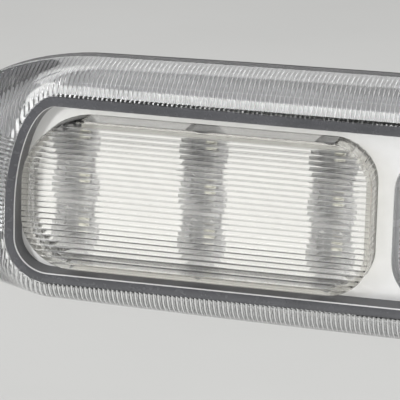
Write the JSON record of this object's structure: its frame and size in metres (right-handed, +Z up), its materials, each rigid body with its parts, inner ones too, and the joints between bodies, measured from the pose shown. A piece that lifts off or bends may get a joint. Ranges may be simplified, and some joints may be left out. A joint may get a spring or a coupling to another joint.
{
  "type": "third brake light",
  "caption": "Long clear-lens high-mount stop lamp with a brake lamp in the middle and cargo lamps at both ends, for the back of a pickup cab.",
  "frame": {"origin": "middle of the mounting gasket's rear face, where it seals on the cab", "axes": "+X along the lamp, +Y into the cab, +Z up; the lens faces -Y"},
  "size_m": [0.411, 0.0685, 0.0806],
  "materials": {
    "clear_lens": "clear, fluted",
    "clear_optic": "clear, fluted",
    "dark_trim": "gloss",
    "silver_paint": "satin silver",
    "white_reflector": "gloss",
    "bright_reflector": "metallised",
    "black_housing": "fine grain",
    "black_foam": "closed-cell foam",
    "black_rubber": "smooth",
    "zinc_screw": "zinc plated",
    "circuit_board": "black solder mask",
    "led_package": "phosphor dome",
    "grey_connector": "moulded",
    "grey_socket": "moulded",
    "tinned_brass": "tinned",
    "red_glass": "red lacquered",
    "filament_wire": "drawn"
  },
  "bodies": {
    "root": {"outer_lens": "clear_lens", "trim_band": "dark_trim", "inner_bezel": "silver_paint", "brake_lens": "clear_optic", "brake_reflector": "bright_reflector", "rear_housing": "black_housing", "mounting_gasket": "black_foam", "lens_seal": "black_rubber", "vent_plugs": "black_housing", "fixing_screws": "zinc_screw", "screw_seals": "black_rubber", "cargo_lens_left": "clear_optic", "cargo_lens_right": "clear_optic", "cargo_reflector_left": "white_reflector", "cargo_reflector_right": "white_reflector", "cargo_board_left": "circuit_board", "cargo_board_right": "circuit_board", "cargo_leds_left": "led_package", "cargo_leds_right": "led_package", "board_screws_left": "zinc_screw", "board_screws_right": "zinc_screw", "connector_shell_left": "grey_connector", "connector_shell_right": "grey_connector", "connector_pins_left": "tinned_brass", "connector_pins_right": "tinned_brass"},
    "twist_socket_left": {"bulb_socket_left": "grey_socket", "socket_contacts_left": "tinned_brass", "socket_seal_left": "black_rubber", "bulb_left": "red_glass", "filament_left": "filament_wire"},
    "twist_socket_right": {"bulb_socket_right": "grey_socket", "socket_contacts_right": "tinned_brass", "socket_seal_right": "black_rubber", "bulb_right": "red_glass", "filament_right": "filament_wire"}
  },
  "joints": [
    {"name": "socket_twist_left", "type": "hinge", "parent": "root", "child": "twist_socket_left", "pos_m": [-0.026, 0.0185, 0], "axis": [0, 1, 0], "range_deg": [0, 45]},
    {"name": "socket_twist_right", "type": "hinge", "parent": "root", "child": "twist_socket_right", "pos_m": [0.026, 0.0185, 0], "axis": [0, 1, 0], "range_deg": [0, 45]}
  ]
}
